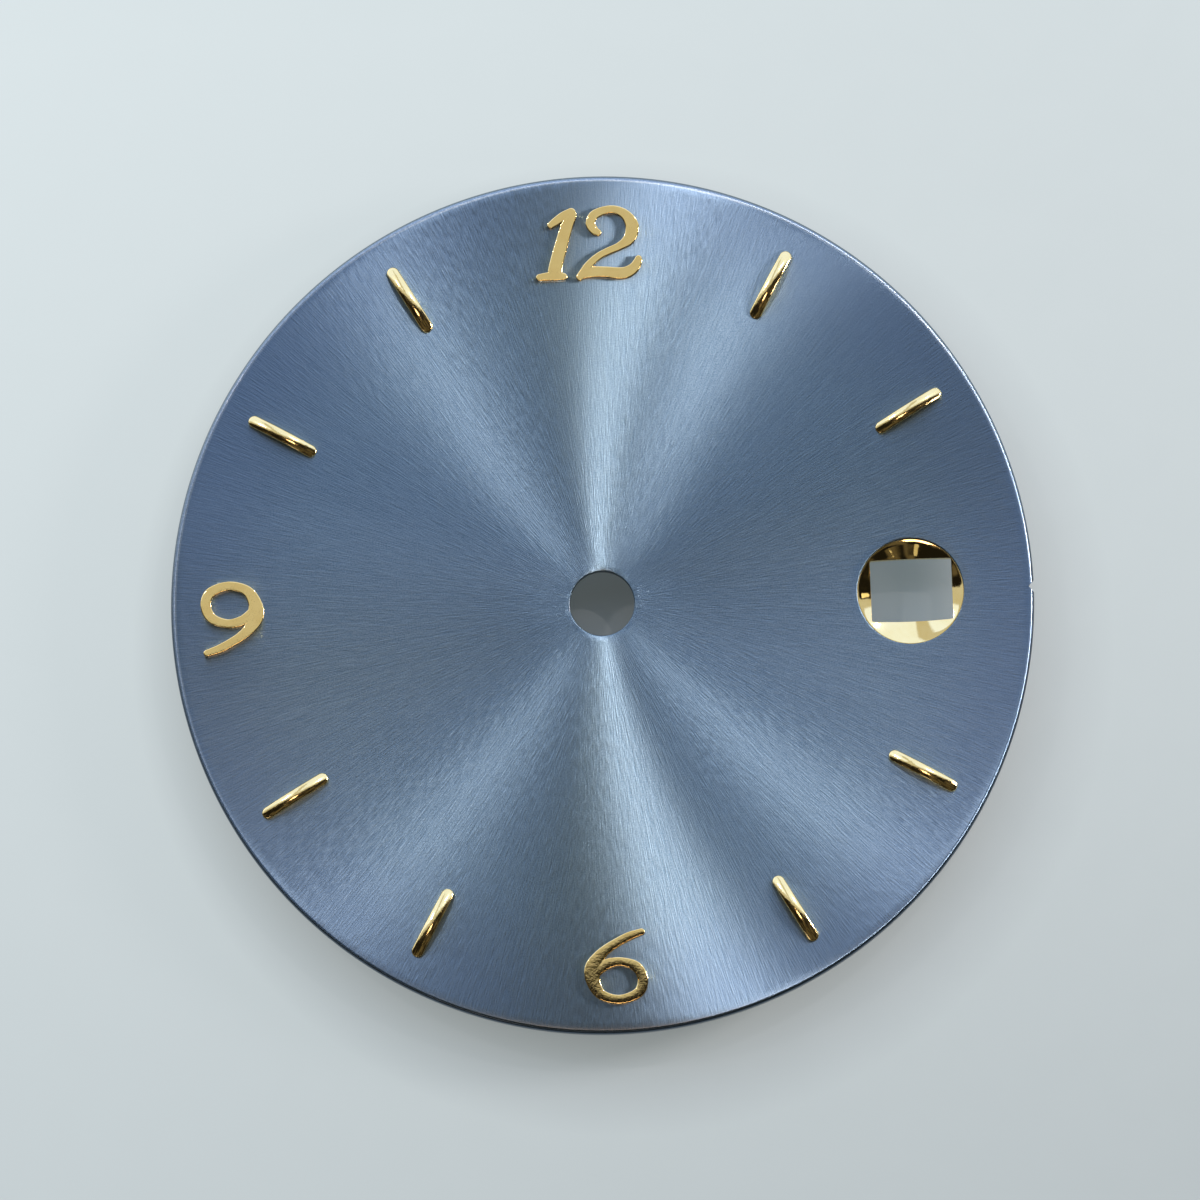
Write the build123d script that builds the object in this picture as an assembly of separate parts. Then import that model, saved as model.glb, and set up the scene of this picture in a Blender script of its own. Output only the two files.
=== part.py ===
from build123d import *
import math
import os

# A wristwatch dial with applied gilt numerals and baton hour markers and a date window at 3.
# Millimetres. +Z points out of the face, +Y to 12 o'clock and +X to 3 o'clock. The origin is
# on the axis of the centre hole, on the back face of the plate.

# Dial plate: a brass disc
dial_diameter = 29.0
plate_thickness = 0.4
centre_hole_diameter = 2.17
centre_hole_edge_round = 0.04

# The face is flat, rolls gently down near the rim and then rounds over to the side wall
rim_roll_width = 0.25
rim_roll_drop = 0.005
rim_edge_width = 0.15
rim_edge_drop = 0.15

# Small notch in the rim at 3 o'clock, used to line the dial up
rim_notch_width = 0.37
rim_notch_depth = 0.17
rim_notch_corner_round = 0.05

# An inset is the distance from the rim to the middle of a piece.
# Date window: a round hole in the plate with a soft lip, and a gilt frame seated from behind
window_inset = 4.14
window_hole_diameter = 3.57
window_lip_round = 0.04
window_frame_depth = 0.15
window_frame_clearance = 0.01
window_frame_land = 0.03
window_frame_slope_angle = 13.0
window_flange_width = 0.45
window_flange_thickness = 0.2
aperture_width = 2.73
aperture_height = 2.04
aperture_bow = 0.035
aperture_corner_round = 0.06
aperture_offset_x = 0.03
aperture_offset_y = 0.05

# Baton hour markers: long drops of metal, domed across and along
baton_inset = 2.34
baton_length = 2.55
baton_width = 0.42
baton_height = 0.32
baton_end_height = 0.1
baton_crown_radius = 0.45
baton_foot_share = 0.62
hour_angle = 30.0

# Applied numerals: flat on top with a rounded edge
numeral_height = 2.5
numeral_thickness = 0.22
numeral_edge_round = 0.05
twelve_inset = 2.345
six_inset = 2.223
nine_inset = 2.08

# Feet under the applied pieces pass through the plate and end in beads of lacquer
applique_foot_diameter = 0.22
applique_foot_clearance = 0.02
applique_foot_end = 0.08
bead_diameter = 0.62
bead_height = 0.18
bead_end_gap = 0.02

# Dial feet: two copper pins with a collar, soldered to the back
dial_foot_diameter = 0.7
dial_foot_length = 1.9
dial_foot_tip_chamfer = 0.1
dial_foot_collar_diameter = 1.1
dial_foot_collar_thickness = 0.12
dial_foot_inset = 2.5
dial_foot_angle = 42.0
solder_width = 0.25

cut_overrun = 0.5

# Strokes of the numerals. Each point is the middle of the stroke and its width there, all as
# shares of the numeral's height, from the middle of the numeral's own field.
one_stem_shares = (
    (-0.211, 0.395, 0.145),
    (-0.275, 0.262, 0.168),
    (-0.359, 0.010, 0.180),
    (-0.437, -0.245, 0.186),
    (-0.461, -0.350, 0.192),
)
one_flag_shares = (
    (-0.497, 0.277, 0.092),
    (-0.416, 0.332, 0.116),
    (-0.321, 0.394, 0.125),
    (-0.213, 0.440, 0.127),
)
one_base_shares = (
    (-0.671, -0.426, 0.100),
    (-0.581, -0.418, 0.116),
    (-0.441, -0.412, 0.135),
    (-0.346, -0.426, 0.100),
)
two_bow_shares = (
    (0.137, 0.152, 0.096),
    (0.081, 0.196, 0.123),
    (0.043, 0.284, 0.135),
    (0.108, 0.402, 0.129),
    (0.324, 0.463, 0.110),
    (0.507, 0.390, 0.135),
    (0.601, 0.225, 0.183),
    (0.555, 0.057, 0.160),
    (0.428, -0.038, 0.112),
    (0.261, -0.106, 0.103),
    (0.134, -0.168, 0.101),
    (-0.002, -0.282, 0.111),
    (-0.126, -0.440, 0.109),
)
two_base_shares = (
    (-0.111, -0.434, 0.086),
    (0.039, -0.383, 0.148),
    (0.228, -0.386, 0.150),
    (0.382, -0.409, 0.164),
    (0.500, -0.402, 0.162),
    (0.600, -0.346, 0.144),
    (0.654, -0.270, 0.120),
    (0.669, -0.222, 0.094),
)
nine_bowl_shares = (
    (0.288, 0.073, 0.144),
    (0.203, 0.003, 0.139),
    (0.098, -0.055, 0.139),
    (-0.072, -0.074, 0.122),
    (-0.271, 0.000, 0.142),
    (-0.353, 0.172, 0.144),
    (-0.286, 0.349, 0.140),
    (-0.037, 0.431, 0.128),
    (0.203, 0.360, 0.142),
)
nine_tail_shares = (
    (-0.037, 0.431, 0.128),
    (0.203, 0.360, 0.142),
    (0.310, 0.183, 0.185),
    (0.310, 0.003, 0.220),
    (0.228, -0.147, 0.162),
    (0.110, -0.252, 0.133),
    (-0.022, -0.330, 0.124),
    (-0.187, -0.410, 0.119),
    (-0.357, -0.463, 0.097),
)
one_feet_shares = ((-0.275, 0.262), (-0.437, -0.245))
two_feet_shares = ((0.601, 0.200), (0.382, -0.409))
nine_feet_shares = ((-0.337, 0.243), (0.303, 0.013))
stroke_steps = 4
edge_steps = 2

dial_radius = dial_diameter / 2
window_distance = dial_radius - window_inset
baton_circle_radius = dial_radius - baton_inset
twelve_circle_radius = dial_radius - twelve_inset
six_circle_radius = dial_radius - six_inset
nine_circle_radius = dial_radius - nine_inset
dial_foot_circle_radius = dial_radius - dial_foot_inset
centre_hole_radius = centre_hole_diameter / 2
rim_edge_radius = dial_radius - rim_edge_width
flat_face_radius = rim_edge_radius - rim_roll_width
window_hole_radius = window_hole_diameter / 2
window_frame_radius = window_hole_radius - window_frame_clearance
window_flange_radius = window_hole_radius + window_flange_width
window_frame_top = plate_thickness - window_frame_depth
foot_radius = applique_foot_diameter / 2
foot_hole_radius = foot_radius + applique_foot_clearance
half_turn_angle = 180.0
quarter_hours = 3
baton_hours = [hour for hour in range(1, 12) if hour % quarter_hours]


def at_clock_angle(radius, angle):
    """The point at this distance from the centre, at an angle counted clockwise from 12."""
    return radius * math.sin(math.radians(angle)), radius * math.cos(math.radians(angle))


def turned_solid(outline):
    """A solid of revolution about +Z from a closed outline drawn in the XZ plane."""
    return revolve(make_face(outline), Axis.Z)


def plate_blank():
    """The disc with its centre hole and its rolled and rounded rim, before any other cut."""
    back = Line((centre_hole_radius, 0, 0), (dial_radius, 0, 0))
    side_top = plate_thickness - rim_roll_drop - rim_edge_drop
    wall = Line((dial_radius, 0, 0), (dial_radius, 0, side_top))
    roll = TangentArc(
        (flat_face_radius, 0, plate_thickness),
        (rim_edge_radius, 0, plate_thickness - rim_roll_drop),
        tangent=(1, 0, 0),
    )
    edge = TangentArc(roll @ 1, (dial_radius, 0, side_top), tangent=roll % 1)
    hole_top = plate_thickness - centre_hole_edge_round
    hole_edge = TangentArc(
        (centre_hole_radius, 0, hole_top),
        (centre_hole_radius + centre_hole_edge_round, 0, plate_thickness),
        tangent=(0, 0, 1),
    )
    face = Line(hole_edge @ 1, roll @ 0)
    bore = Line((centre_hole_radius, 0, 0), (centre_hole_radius, 0, hole_top))
    return turned_solid([back, wall, edge, roll, face, hole_edge, bore])


def window_cutter():
    """The round hole for the date window, flared at the face by the radius of its lip."""
    lip_start = window_hole_radius + window_lip_round
    wall_top = plate_thickness - window_lip_round
    lip = TangentArc(
        (window_hole_radius, 0, wall_top),
        (lip_start, 0, plate_thickness),
        tangent=(0, 0, 1),
    )
    top = plate_thickness + cut_overrun
    outline = [
        Line((0, 0, -cut_overrun), (window_hole_radius, 0, -cut_overrun)),
        Line((window_hole_radius, 0, -cut_overrun), (window_hole_radius, 0, wall_top)),
        lip,
        Line((lip_start, 0, plate_thickness), (lip_start, 0, top)),
        Line((lip_start, 0, top), (0, 0, top)),
        Line((0, 0, top), (0, 0, -cut_overrun)),
    ]
    return Pos(window_distance, 0, 0) * turned_solid(outline)


def notch_cutter():
    """A V with a rounded root, through the rim at 3 o'clock."""
    reach = rim_notch_depth + cut_overrun
    half_width = rim_notch_width / 2 * reach / rim_notch_depth
    root = dial_radius - rim_notch_depth
    vee = make_face(Polyline((root, 0), (root + reach, half_width), (root + reach, -half_width),
                             close=True))
    vee = fillet(vee.vertices().sort_by(Axis.X)[0], rim_notch_corner_round)
    return Pos(0, 0, -cut_overrun) * extrude(vee, plate_thickness + 2 * cut_overrun)


def stroke_samples(shares):
    """Even steps along a smooth line through a stroke's points.

    Each span is a cubic whose slope at a point is half the step between its two neighbours.
    It returns, for each step, the middle of the stroke and its half width, in millimetres.
    """
    rows = [[value * numeral_height for value in row] for row in shares]
    first = [2 * a - b for a, b in zip(rows[0], rows[1])]
    last = [2 * a - b for a, b in zip(rows[-1], rows[-2])]
    rows = [first] + rows + [last]
    samples = []
    for before, start, end, after in zip(rows, rows[1:], rows[2:], rows[3:]):
        for step in range(stroke_steps):
            t = step / stroke_steps
            samples.append([
                b + t * (c - a) / 2 + t**2 * (2 * a - 5 * b + 4 * c - d) / 2
                + t**3 * (3 * b - a - 3 * c + d) / 2
                for a, b, c, d in zip(before, start, end, after)
            ])
    samples.append(rows[-2])
    return [(Vector(x, y), width / 2) for x, y, width in samples]


def pen_stroke(shares, inset):
    """The flat outline of one stroke, drawn in by an inset all round.

    Two smooth sides run along the stroke, and a round end closes each tip.
    """
    samples = [(middle, half_width - inset) for middle, half_width in stroke_samples(shares)]
    middles = [middle for middle, half_width in samples]
    ahead = middles[1:] + [2 * middles[-1] - middles[-2]]
    behind = [2 * middles[0] - middles[1]] + middles[:-1]
    runs = [(a - b).normalized() for a, b in zip(ahead, behind)]
    sides = [Vector(-run.Y, run.X) for run in runs]
    left = [m + side * half for (m, half), side in zip(samples, sides)]
    right = [m - side * half for (m, half), side in zip(samples, sides)]
    tip = middles[-1] + runs[-1] * samples[-1][1]
    tail = middles[0] - runs[0] * samples[0][1]
    return make_face([
        Spline(*left),
        ThreePointArc(left[-1], tip, right[-1]),
        Spline(*right),
        ThreePointArc(left[0], tail, right[0]),
    ])


def stroke_solid(shares):
    """One stroke with upright sides and a top edge that rounds in, in a few flat steps."""
    side_top = numeral_thickness - numeral_edge_round
    sections = [pen_stroke(shares, 0)]
    for step in range(edge_steps + 1):
        angle = math.pi / 2 * step / edge_steps
        inset = numeral_edge_round * (1 - math.cos(angle))
        height = side_top + numeral_edge_round * math.sin(angle)
        sections.append(Pos(0, 0, height) * pen_stroke(shares, inset))
    return loft(sections, ruled=True)


def applique_feet(places):
    """Pins that hang below an applied piece, through the plate and out of its back."""
    pin = Cylinder(foot_radius, plate_thickness + applique_foot_end,
                   align=(Align.CENTER, Align.CENTER, Align.MAX))
    return [Pos(x, y, 0) * pin for x, y in places]


def applied_numeral(strokes, foot_shares, turn):
    """A numeral of one or more strokes on its feet, with its underside at height 0."""
    solid = stroke_solid(strokes[0])
    for stroke in strokes[1:]:
        solid += stroke_solid(stroke)
    for pin in applique_feet(feet_places(foot_shares)):
        solid += pin
    return Rot(0, 0, turn) * solid


def feet_places(foot_shares):
    """Where a numeral's feet stand, from the middle of its field."""
    return [(x * numeral_height, y * numeral_height) for x, y in foot_shares]


def baton_feet_places():
    """Where a baton's feet stand: on its middle line, near the ends."""
    reach = baton_length / 2 * baton_foot_share
    return [(0, reach), (0, -reach)]


def baton():
    """One hour marker along Y: a bar with round ends under a crown that curves both ways."""
    half_length = baton_length / 2
    fall = baton_height - baton_end_height
    long_radius = (half_length**2 + fall**2) / (2 * fall)
    bar = extrude(SlotOverall(baton_length, baton_width, rotation=90), baton_height)
    ring = Torus(long_radius - baton_crown_radius, baton_crown_radius)
    crown = Pos(0, 0, baton_height - long_radius) * Rot(0, 90, 0) * ring
    solid = bar & crown
    for pin in applique_feet(baton_feet_places()):
        solid += pin
    return solid


# Where each applied piece stands on the face: its node, its own shape and its place
numeral_strokes = {
    "numeral_12_one": ((one_stem_shares, one_flag_shares, one_base_shares), one_feet_shares, 0),
    "numeral_12_two": ((two_bow_shares, two_base_shares), two_feet_shares, 0),
    "numeral_6": ((nine_bowl_shares, nine_tail_shares), nine_feet_shares, half_turn_angle),
    "numeral_9": ((nine_bowl_shares, nine_tail_shares), nine_feet_shares, 0),
}
numeral_places = {
    "numeral_12_one": (0, twelve_circle_radius),
    "numeral_12_two": (0, twelve_circle_radius),
    "numeral_6": (0, -six_circle_radius),
    "numeral_9": (-nine_circle_radius, 0),
}


def baton_seat(hour):
    """The place and turn of the baton at this hour."""
    x, y = at_clock_angle(baton_circle_radius, hour * hour_angle)
    return Pos(x, y, plate_thickness) * Rot(0, 0, -hour * hour_angle)


def foot_points():
    """The places of all the feet of the applied pieces, for batons and for numerals."""
    baton_points = []
    for hour in baton_hours:
        for x, y in baton_feet_places():
            baton_points.append((baton_seat(hour) * Pos(x, y, 0)).position)
    numeral_points = []
    for node, (strokes, foot_shares, turn) in numeral_strokes.items():
        place = Pos(*numeral_places[node], 0) * Rot(0, 0, turn)
        for x, y in feet_places(foot_shares):
            numeral_points.append((place * Pos(x, y, 0)).position)
    return baton_points, numeral_points


def dial_plate():
    """The plate with its window, its notch and the small holes for the applied pieces."""
    plate = plate_blank() - window_cutter() - notch_cutter()
    hole = Cylinder(foot_hole_radius, plate_thickness + 2 * cut_overrun)
    baton_points, numeral_points = foot_points()
    holes = [Pos(p.X, p.Y, plate_thickness / 2) * hole for p in baton_points + numeral_points]
    return plate - holes


def date_window_frame():
    """A turned gilt frame: a dished face, a rectangular aperture and a flange behind."""
    dish_radius = window_frame_radius - window_frame_land
    dish_depth = dish_radius * math.tan(math.radians(window_frame_slope_angle))
    outline = Polyline(
        (0, 0, -window_flange_thickness),
        (window_flange_radius, 0, -window_flange_thickness),
        (window_flange_radius, 0, 0),
        (window_frame_radius, 0, 0),
        (window_frame_radius, 0, window_frame_top),
        (dish_radius, 0, window_frame_top),
        (0, 0, window_frame_top - dish_depth),
        close=True,
    )
    frame = turned_solid(outline)
    right = aperture_width / 2
    top = aperture_height / 2
    opening = make_face([
        Line((right, -top), (right, top)),
        ThreePointArc((right, top), (0, top + aperture_bow), (-right, top)),
        Line((-right, top), (-right, -top)),
        ThreePointArc((-right, -top), (0, -top - aperture_bow), (right, -top)),
    ])
    opening = fillet(opening.vertices(), aperture_corner_round)
    height = window_flange_thickness + plate_thickness + cut_overrun
    cutter = Pos(aperture_offset_x, aperture_offset_y, -window_flange_thickness) * extrude(opening, height)
    return Pos(window_distance, 0, 0) * (frame - cutter)


def lacquer_beads(points):
    """Domed beads on the back, one over each foot end, with a blind hole for the foot."""
    bead_radius = bead_diameter / 2
    hole_depth = applique_foot_end + bead_end_gap
    outline = [
        Line((foot_hole_radius, 0, 0), (bead_radius, 0, 0)),
        TangentArc((0, 0, -bead_height), (bead_radius, 0, 0), tangent=(1, 0, 0)),
        Line((0, 0, -bead_height), (0, 0, -hole_depth)),
        Line((0, 0, -hole_depth), (foot_hole_radius, 0, -hole_depth)),
        Line((foot_hole_radius, 0, -hole_depth), (foot_hole_radius, 0, 0)),
    ]
    bead = turned_solid(outline)
    return Compound([Pos(p.X, p.Y, 0) * bead for p in points])


def dial_foot():
    """A copper pin with a collar at its root and a chamfered tip."""
    radius = dial_foot_diameter / 2
    collar = dial_foot_collar_diameter / 2
    outline = Polyline(
        (0, 0, 0),
        (collar, 0, 0),
        (collar, 0, -dial_foot_collar_thickness),
        (radius, 0, -dial_foot_collar_thickness),
        (radius, 0, dial_foot_tip_chamfer - dial_foot_length),
        (radius - dial_foot_tip_chamfer, 0, -dial_foot_length),
        (0, 0, -dial_foot_length),
        close=True,
    )
    return turned_solid(outline)


def foot_solder():
    """A ring of solder in the corner between the plate's back and the foot's collar."""
    inner = dial_foot_collar_diameter / 2
    outline = Polyline(
        (inner, 0, 0),
        (inner + solder_width, 0, 0),
        (inner, 0, -dial_foot_collar_thickness),
        close=True,
    )
    return turned_solid(outline)


def all_pieces():
    """Every piece of the dial in its place, by node name."""
    pieces = {"dial_plate": dial_plate(), "date_window_frame": date_window_frame()}
    for node, (strokes, foot_shares, turn) in numeral_strokes.items():
        seat = Pos(*numeral_places[node], plate_thickness)
        pieces[node] = seat * applied_numeral(strokes, foot_shares, turn)
    marker = baton()
    for hour in baton_hours:
        pieces[f"index_{hour:02d}"] = baton_seat(hour) * marker
    baton_points, numeral_points = foot_points()
    pieces["lacquer_beads_batons"] = lacquer_beads(baton_points)
    pieces["lacquer_beads_numerals"] = lacquer_beads(numeral_points)
    for number, angle in enumerate((dial_foot_angle, dial_foot_angle + half_turn_angle), start=1):
        place = Pos(*at_clock_angle(dial_foot_circle_radius, angle), 0)
        pieces[f"dial_foot_{number}"] = place * dial_foot()
        pieces[f"foot_solder_{number}"] = place * foot_solder()
    return pieces


os.makedirs("parts", exist_ok=True)
for node, shape in all_pieces().items():
    export_step(shape, f"parts/{node}.step")
    print(f"{node}: {shape.volume:.4f} mm3")
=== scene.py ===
# %% [markdown]
# # A sunray watch dial
#
# The dial is a thin brass disc, brushed along its radii, coloured blue and lacquered. On it sit
# polished gilt batons and numerals, each on small feet that pass through the disc. A turned gilt
# frame lines the date window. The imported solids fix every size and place. This file dresses
# them: it makes finer surfaces in the same places and gives each one its finish.
#
# The script works in millimetres. They become metres where they go into a mesh, a material, a
# lamp or the camera.

# %% Load the fixed frame
import math
import bmesh
import bpy
import numpy as np
from mathutils import Matrix, Vector


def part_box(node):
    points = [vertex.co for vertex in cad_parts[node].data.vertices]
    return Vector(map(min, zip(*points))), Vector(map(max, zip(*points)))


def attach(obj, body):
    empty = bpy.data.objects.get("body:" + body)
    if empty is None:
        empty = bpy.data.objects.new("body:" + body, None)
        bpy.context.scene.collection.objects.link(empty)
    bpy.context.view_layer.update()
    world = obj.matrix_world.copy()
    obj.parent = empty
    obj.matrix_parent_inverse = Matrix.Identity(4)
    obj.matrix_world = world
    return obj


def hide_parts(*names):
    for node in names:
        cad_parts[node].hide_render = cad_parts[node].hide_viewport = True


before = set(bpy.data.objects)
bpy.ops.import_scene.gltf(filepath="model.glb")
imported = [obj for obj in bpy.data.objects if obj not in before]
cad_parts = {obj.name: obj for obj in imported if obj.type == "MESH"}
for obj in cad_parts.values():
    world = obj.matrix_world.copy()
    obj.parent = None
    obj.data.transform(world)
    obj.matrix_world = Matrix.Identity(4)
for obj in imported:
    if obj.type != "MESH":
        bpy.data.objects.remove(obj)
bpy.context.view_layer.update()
MM = 0.001
print("nodes:", len(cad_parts))

# %% [markdown]
# Each node's box says where it stands, so the main sizes are read from the boxes instead of
# being typed again. What a box can't tell, such as holes, roundings and the strokes of the
# numerals, is named with the piece that carries it.

# %% Read the places and sizes from the nodes


def node_box(node):
    """Lowest corner, highest corner and middle of a node, in millimetres."""
    low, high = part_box(node)
    low = np.array(low) / MM
    high = np.array(high) / MM
    return low, high, (low + high) / 2


plate_high = node_box("dial_plate")[1]
frame_low, frame_high, frame_middle = node_box("date_window_frame")
dial_radius = plate_high[1]
face_height = plate_high[2]
window_x = frame_middle[0]
floor_height = node_box("dial_foot_1")[0][2]
print(f"dial radius {dial_radius:.3f} mm, face {face_height:.3f} mm, window at {window_x:.3f} mm")

# %% [markdown]
# ## Surfaces from arrays
#
# Most pieces here are grids: one direction runs round the piece and the other runs along its
# profile. A grid of points becomes quads by joining each row to the next. If the rows run
# outwards over the top, down the side and back inwards underneath, every face points outwards.

# %% Turn grids of points into closed meshes


def band_faces(rows, around, first=0, skip=None):
    """Quads between neighbouring rows of a grid whose rows are closed loops.

    The corner order is (row, col), (row+1, col), (row+1, col+1), (row, col+1). skip is a mask
    of the quads to leave out.
    """
    index = first + np.arange(rows * around).reshape(rows, around)
    ahead = np.roll(index, -1, axis=1)
    quads = np.stack([index[:-1], index[1:], ahead[1:], ahead[:-1]], axis=-1)
    return quads[~skip] if skip is not None else quads.reshape(-1, 4)


def mesh_piece(name, points, faces, sharp_degrees=40.0):
    """A mesh object from points in millimetres and an array of faces of one size."""
    mesh = bpy.data.meshes.new(name)
    corners = faces.shape[1]
    mesh.vertices.add(len(points))
    mesh.vertices.foreach_set("co", (points * MM).astype(np.float32).ravel())
    mesh.loops.add(faces.size)
    mesh.loops.foreach_set("vertex_index", faces.astype(np.int32).ravel())
    mesh.polygons.add(len(faces))
    starts = np.arange(len(faces), dtype=np.int32) * corners
    mesh.polygons.foreach_set("loop_start", starts)
    mesh.update(calc_edges=True)
    piece = bpy.data.objects.new(name, mesh)
    bpy.context.scene.collection.objects.link(piece)
    mesh.polygons.foreach_set("use_smooth", np.ones(len(mesh.polygons), dtype=bool))
    mesh.set_sharp_from_angle(angle=math.radians(sharp_degrees))
    return piece


def weld(piece, distance=1e-5, sharp_degrees=40.0):
    """Merge the points that lie within a distance in millimetres and mark the sharp edges."""
    work = bmesh.new()
    work.from_mesh(piece.data)
    bmesh.ops.remove_doubles(work, verts=work.verts, dist=distance * MM)
    open_edges = sum(1 for edge in work.edges if len(edge.link_faces) != 2)
    volume = work.calc_volume(signed=True) / MM**3
    work.to_mesh(piece.data)
    work.free()
    piece.data.set_sharp_from_angle(angle=math.radians(sharp_degrees))
    print(f"{piece.name}: {len(piece.data.polygons)} faces, {open_edges} open edges, {volume:.4f} mm3")
    return piece


def dress(piece, material, slot, *nodes):
    """Give a piece its material, and let it stand for the nodes it replaces. The slot is not used."""
    piece.data.materials.clear()
    piece.data.materials.append(material)
    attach(piece, "root")
    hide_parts(*nodes)


# %% [markdown]
# ## Shader groups
#
# Three effects are used more than once. Grain that runs along the radii makes the sunray.
# Fine scuffs break up a polish. Slow drifts of tone keep a surface from looking like plastic,
# and the same noise at a small size is grit.
# Each is a node group with named inputs, built once and placed with its own values.

# %% A small kit for building node groups


def new_group(name, inputs, outputs):
    """An empty shader group with float or vector sockets and its two end nodes."""
    group = bpy.data.node_groups.new(name, "ShaderNodeTree")
    for label, kind, value in inputs:
        socket = group.interface.new_socket(label, in_out="INPUT", socket_type=kind)
        if value is not None:
            socket.default_value = value
    for label, kind in outputs:
        group.interface.new_socket(label, in_out="OUTPUT", socket_type=kind)
    return group, group.nodes.new("NodeGroupInput"), group.nodes.new("NodeGroupOutput")


def feed(tree, socket, value):
    """Link a socket or set a constant."""
    if isinstance(value, bpy.types.NodeSocket):
        tree.links.new(value, socket)
    else:
        socket.default_value = value


def maths(tree, operation, first, second=0.0):
    """One operation on two values."""
    node = tree.nodes.new("ShaderNodeMath")
    node.operation = operation
    feed(tree, node.inputs[0], first)
    feed(tree, node.inputs[1], second)
    return node.outputs[0]


def vector_maths(tree, operation, first, second=None, scale=None):
    """One operation on a vector, with a second vector or a scale where it needs one."""
    node = tree.nodes.new("ShaderNodeVectorMath")
    node.operation = operation
    feed(tree, node.inputs[0], first)
    if second is not None:
        feed(tree, node.inputs[1], second)
    if scale is not None:
        feed(tree, node.inputs["Scale"], scale)
    return node.outputs["Value"] if operation in ("LENGTH", "DOT_PRODUCT") else node.outputs["Vector"]


def noise(tree, vector, scale, detail=2.0, roughness=0.5):
    """Plain noise, with its scale in cells per unit of the vector."""
    node = tree.nodes.new("ShaderNodeTexNoise")
    feed(tree, node.inputs["Vector"], vector)
    feed(tree, node.inputs["Scale"], scale)
    node.inputs["Detail"].default_value = detail
    node.inputs["Roughness"].default_value = roughness
    return node.outputs["Fac"]


def ranged(tree, value, low, high, to_low=0.0, to_high=1.0, smooth=False):
    """Map a value from one range to another and hold it at the ends."""
    node = tree.nodes.new("ShaderNodeMapRange")
    node.interpolation_type = "SMOOTHSTEP" if smooth else "LINEAR"
    feed(tree, node.inputs["Value"], value)
    node.inputs["From Min"].default_value = low
    node.inputs["From Max"].default_value = high
    node.inputs["To Min"].default_value = to_low
    node.inputs["To Max"].default_value = to_high
    return node.outputs["Result"]


def blend_colour(tree, share, first, second):
    """The first colour, moved towards the second by a share."""
    node = tree.nodes.new("ShaderNodeMix")
    node.data_type = "RGBA"
    feed(tree, node.inputs[0], share)
    feed(tree, node.inputs[6], first)
    feed(tree, node.inputs[7], second)
    return node.outputs[2]


def blend_values(tree, share, first, second):
    """The first value, moved towards the second by a share."""
    step = maths(tree, "MULTIPLY", maths(tree, "SUBTRACT", second, first), share)
    return maths(tree, "ADD", first, step)


def axes_of(tree, vector):
    """The X, Y and Z of a vector."""
    node = tree.nodes.new("ShaderNodeSeparateXYZ")
    feed(tree, node.inputs[0], vector)
    return node.outputs


def mix_shaders(tree, share, first, second):
    """The first shader, moved towards the second by a share."""
    node = tree.nodes.new("ShaderNodeMixShader")
    feed(tree, node.inputs[0], share)
    feed(tree, node.inputs[1], first)
    feed(tree, node.inputs[2], second)
    return node.outputs["Shader"]


def place_group(tree, group, **values):
    """Put a group into a material. Input names are written with _ for a space."""
    node = tree.nodes.new("ShaderNodeGroup")
    node.node_tree = group
    for label, value in values.items():
        feed(tree, node.inputs[label.replace("_", " ")], value)
    return node


# %% Radial grain


def make_radial_grain():
    """Noise on (direction from the axis x lines, radius x run).

    The direction from the axis is a unit vector, so the noise has no seam at 12 o'clock. Its
    cells are narrow round the dial and long along the radius, as the strokes of a brush are. Run
    counts the cells in a millimetre of radius, so a low run makes long strokes.
    """
    group, start, end = new_group(
        "Radial grain",
        [("Vector", "NodeSocketVector", None), ("Lines", "NodeSocketFloat", 150.0),
         ("Run", "NodeSocketFloat", 0.5), ("Offset", "NodeSocketFloat", 0.0)],
        [("Height", "NodeSocketFloat")])
    flat = vector_maths(group, "MULTIPLY", start.outputs["Vector"], (1.0, 1.0, 0.0))
    radius = vector_maths(group, "LENGTH", flat)
    direction = vector_maths(group, "NORMALIZE", flat)
    lines = vector_maths(group, "SCALE", direction, scale=start.outputs["Lines"])
    run = maths(group, "MULTIPLY", radius, maths(group, "DIVIDE", start.outputs["Run"], MM))
    run = maths(group, "ADD", run, start.outputs["Offset"])
    along = group.nodes.new("ShaderNodeCombineXYZ")
    feed(group, along.inputs["Z"], run)
    height = noise(group, vector_maths(group, "ADD", lines, along.outputs["Vector"]), 1.0,
                   detail=1.0, roughness=0.5)
    feed(group, end.inputs["Height"], height)
    return group


radial_grain = make_radial_grain()

# %% Fine scuffs and slow tone
scuff_turns = (0.5, 2.1)


def make_scuffs():
    """Two crossing sets of stretched noise, kept where they peak: hairlines of handling."""
    group, start, end = new_group(
        "Fine scuffs",
        [("Vector", "NodeSocketVector", None), ("Width mm", "NodeSocketFloat", 0.02),
         ("Stretch", "NodeSocketFloat", 14.0)],
        [("Mask", "NodeSocketFloat")])
    unit = maths(group, "DIVIDE", 1.0 / MM, start.outputs["Width mm"])
    long_unit = maths(group, "DIVIDE", unit, start.outputs["Stretch"])
    masks = []
    for turn in scuff_turns:
        mapping = group.nodes.new("ShaderNodeMapping")
        mapping.vector_type = "POINT"
        mapping.inputs["Rotation"].default_value = (0.35 * turn, 0.2, turn)
        feed(group, mapping.inputs["Vector"], start.outputs["Vector"])
        scale = group.nodes.new("ShaderNodeCombineXYZ")
        feed(group, scale.inputs["X"], unit)
        feed(group, scale.inputs["Y"], long_unit)
        feed(group, scale.inputs["Z"], unit)
        stretched = vector_maths(group, "MULTIPLY", mapping.outputs["Vector"], scale.outputs["Vector"])
        masks.append(ranged(group, noise(group, stretched, 1.0, detail=1.0), 0.6, 0.8, smooth=True))
    feed(group, end.inputs["Mask"], maths(group, "MAXIMUM", masks[0], masks[1]))
    return group


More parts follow.
